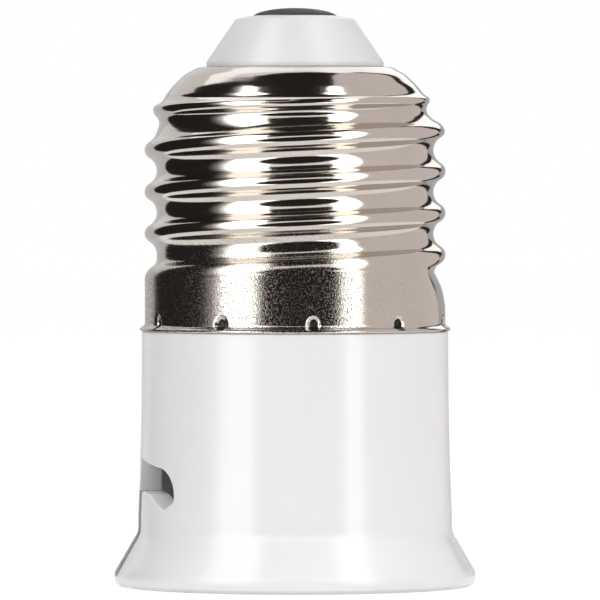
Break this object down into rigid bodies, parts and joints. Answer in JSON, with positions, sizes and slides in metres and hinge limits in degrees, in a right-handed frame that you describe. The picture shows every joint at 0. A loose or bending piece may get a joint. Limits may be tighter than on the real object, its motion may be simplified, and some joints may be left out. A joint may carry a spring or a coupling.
{
  "type": "lamp socket adapter",
  "caption": "Lamp socket adapter: nickel-plated screw cap with insulator cone and centre contact above a white flared bayonet socket with sprung contacts.",
  "frame": {"origin": "centre of the rim's foot, on the axis of the adapter", "axes": "+Z along the axis from the socket's mouth up to the centre contact, +X to the right and -Y towards the viewer in the picture"},
  "size_m": [0.0314, 0.0314, 0.0504],
  "materials": {
    "white_plastic": "gloss",
    "insulator_plastic": "satin",
    "carrier_plastic": "matte",
    "nickel_plate": "polished",
    "tinned_contact": "satin",
    "contact_brass": "polished",
    "spring_steel": "bright",
    "screw_steel": "zinc",
    "tinned_wire": "tinned"
  },
  "bodies": {
    "adapter": {"socket_body": "white_plastic", "screw_shell": "nickel_plate", "tip_insulator": "insulator_plastic", "centre_contact": "tinned_contact", "contact_carrier": "carrier_plastic", "carrier_screw": "screw_steel", "live_sleeve": "contact_brass", "neutral_sleeve": "contact_brass", "live_spring": "spring_steel", "neutral_spring": "spring_steel", "live_lead": "tinned_wire", "neutral_lead": "tinned_wire"},
    "live_contact": {"live_plunger": "contact_brass"},
    "neutral_contact": {"neutral_plunger": "contact_brass"}
  },
  "joints": [
    {"name": "live_press", "type": "slide", "parent": "adapter", "child": "live_contact", "axis": [0, 0, 1], "range_m": [0, 0.0043], "stiffness_N_per_m": 1000, "springref_m": -0.003, "deforming": ["live_spring"]},
    {"name": "neutral_press", "type": "slide", "parent": "adapter", "child": "neutral_contact", "axis": [0, 0, 1], "range_m": [0, 0.0043], "stiffness_N_per_m": 1000, "springref_m": -0.003, "deforming": ["neutral_spring"]}
  ]
}
